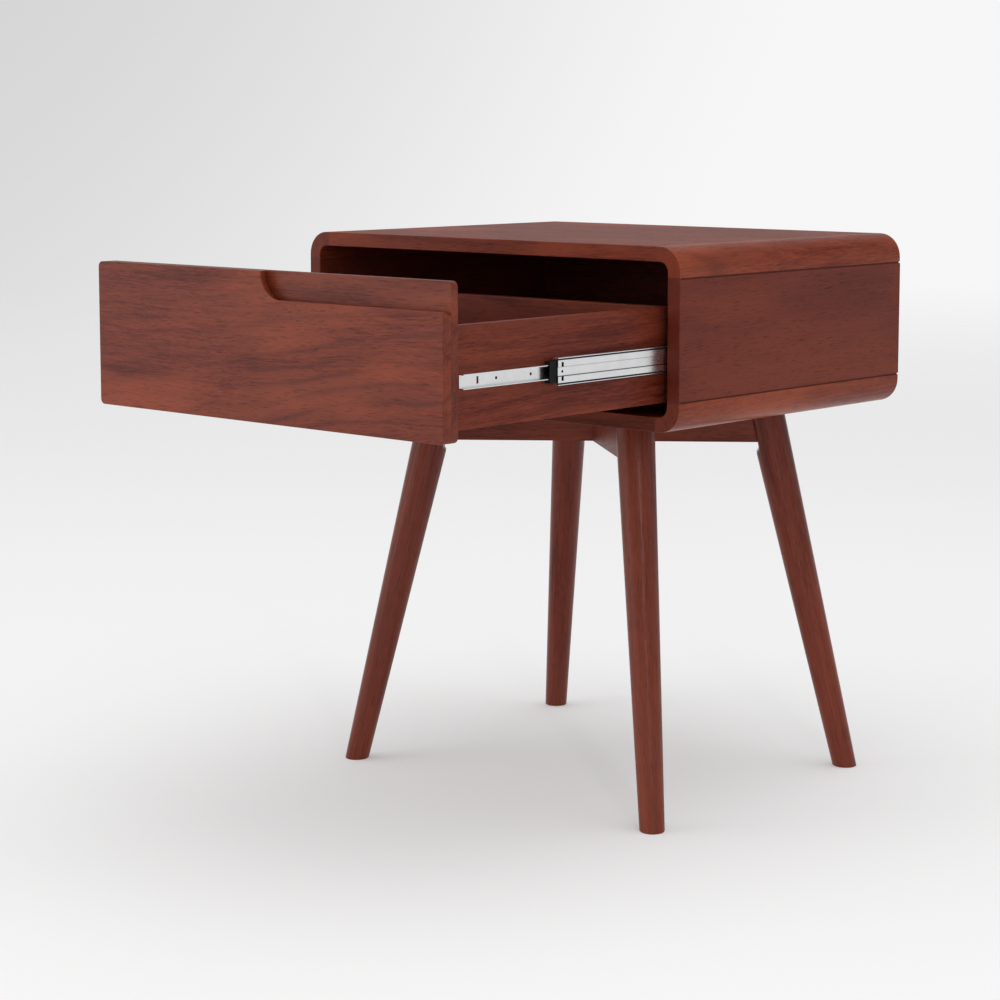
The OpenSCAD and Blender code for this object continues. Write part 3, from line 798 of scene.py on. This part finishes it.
VIEW_HEADING = 0.7379                      # turn of the camera from straight at the front, in radians
VIEW_PITCH = 0.1142                        # how far it looks down
CAMERA_PLACE = (1.91597, -2.11839, 0.80102)
LENS = 87.26                               # focal length in millimetres, on a 36 mm frame
FRAME_SHIFT = -0.10
FLOOR_RADIUS = 14.0
FLOOR_FADE = (2.5, 10.0)                   # the floor fades out between these distances
FLOOR_GLOW = 0.25                          # light from the floor itself, as on a lit table
LAMP_AIM = (0, 0, 0.5)
LAMPS = {                                  # place, aim, width, height and watts
    "key": ((-2.2, -2.8, 1.3), LAMP_AIM, 2.0, 2.0, 18),
    "overhead": ((0.2, 0.3, 3.2), LAMP_AIM, 2.2, 2.2, 20),
    "strip": ((2.05, -1.42, 1.1), (0.2, -0.15, 0.4), 0.13, 1.2, 6),
}


def studio_floor():
    """Pale floor disc, of rings at radius times the square of even steps, and spokes at even turns.

    Towards its rim it fades out, so that floor and backdrop meet without a line.
    """
    rings, around = 24, 96
    reach = np.linspace(0, 1, rings + 1)[1:, None] ** 2 * FLOOR_RADIUS
    turn = np.linspace(0, 2 * math.pi, around, endpoint=False)[None, :]
    x, y = reach * np.cos(turn), reach * np.sin(turn)
    points = np.concatenate([[[0, 0, 0]], np.stack([x, y, 0 * x], -1).reshape(-1, 3)])
    index = np.arange(rings * around).reshape(rings, around) + 1
    turned = np.roll(index, -1, 1)
    quads = np.stack([index[:-1], index[1:], turned[1:], turned[:-1]], -1).reshape(-1, 4)
    middle = np.stack([0 * index[0], index[0], turned[0]], -1)
    mesh = bpy.data.meshes.new("studio_floor")
    mesh.from_pydata(points.tolist(), [], quads.tolist() + middle.tolist())
    floor = bpy.data.objects.new("studio_floor", mesh)
    bpy.context.scene.collection.objects.link(floor)

    finish = Finish("pale_floor", roughness=0.9, specular_ior_level=0.1, emission_color=(1, 1, 1, 1),
                    emission_strength=FLOOR_GLOW)
    where = finish.coordinates()
    cloud = finish.noise(where, 0.6, 1.0, 0.5)
    finish.drive("Base Color", finish.blend(cloud, (0.69, 0.69, 0.69, 1), (0.70, 0.70, 0.70, 1)))
    distance = finish.add("ShaderNodeVectorMath", {"operation": "LENGTH"}, {0: where}, output="Value")
    clear = finish.add("ShaderNodeBsdfTransparent", {})
    solid = Wire(finish, finish.shader.outputs[0])
    fade = finish.between(distance, *FLOOR_FADE)
    mixed = finish.add("ShaderNodeMixShader", {}, {0: fade, 1: solid, 2: clear})
    finish.plug(finish.tree.nodes["Material Output"].inputs["Surface"], mixed)
    mesh.materials.append(finish.material)


def soft_light(name, place_at, aim, width, height, watts):
    """Upright rectangular area light at a point, facing another; the camera doesn't see it."""
    lamp = bpy.data.lights.new(name, "AREA")
    lamp.shape = "RECTANGLE"
    lamp.size = width
    lamp.size_y = height
    lamp.energy = watts
    light = bpy.data.objects.new(name, lamp)
    bpy.context.scene.collection.objects.link(light)
    direction = unit(np.subtract(place_at, aim))
    side = unit(np.cross((0, 0, 1), direction))
    turn = Matrix(np.stack([side, np.cross(direction, side), direction], 1)).to_4x4()
    turn.translation = place_at
    light.matrix_world = turn
    light.visible_camera = False


class Surroundings(Finish):
    """World shader under construction; it shares the node helpers of a finish."""

    def __init__(self, name):
        self.world = bpy.data.worlds.new(name)
        self.world.use_nodes = True
        self.tree = self.world.node_tree
        self.shader = self.tree.nodes["Background"]

    def towards(self, direction, low, high):
        """1 where the sky lies close to a direction, 0 far from it: a smooth step of the dot product."""
        return self.between(self.along(self.coordinates("Generated"), direction), low, high)


def studio_world():
    """Near-white surroundings with a soft grey patch high behind the left of the cabinet.

    The light they give is weaker from high behind, from the right and from the side of the camera,
    as in a room with the big lamps overhead and at the front left.
    """
    sky = Surroundings("studio")
    ahead = np.array([-math.sin(VIEW_HEADING), math.cos(VIEW_HEADING), 0])
    left = np.array([-math.cos(VIEW_HEADING), -math.sin(VIEW_HEADING), 0])
    up = np.array([0, 0, 1.0])
    backdrop = 0.925 - 0.28 * sky.towards(ahead + 0.38 * left + 0.22 * up, 0.87, 1.0)
    behind = sky.towards(ahead, 0.0, 0.6) * sky.towards(up, -0.02, 0.15)
    lighting = 1.02 - 0.55 * behind
    lighting = lighting - 0.25 * sky.towards(-left, 0.3, 0.8) - 0.35 * sky.towards(-ahead, 0.3, 0.9)
    seen = sky.add("ShaderNodeLightPath", {}, output="Is Camera Ray")
    sky.drive("Strength", seen * backdrop + (1 - seen) * lighting)
    sky.shader.inputs["Color"].default_value = (1, 1, 1, 1)
    bpy.context.scene.world = sky.world


def studio_camera():
    """Eye-level camera in front of the right-hand corner, looking slightly down."""
    lens = bpy.data.cameras.new("camera")
    lens.sensor_width = 36
    lens.lens = LENS
    lens.shift_y = FRAME_SHIFT
    camera = bpy.data.objects.new("camera", lens)
    camera.location = CAMERA_PLACE
    camera.rotation_euler = (math.pi / 2 - VIEW_PITCH, 0, VIEW_HEADING)
    bpy.context.scene.collection.objects.link(camera)
    bpy.context.scene.camera = camera


bpy.context.scene.view_settings.view_transform = "Standard"
studio_floor()
studio_world()
studio_camera()
for lamp, settings in LAMPS.items():
    soft_light(lamp, *settings)
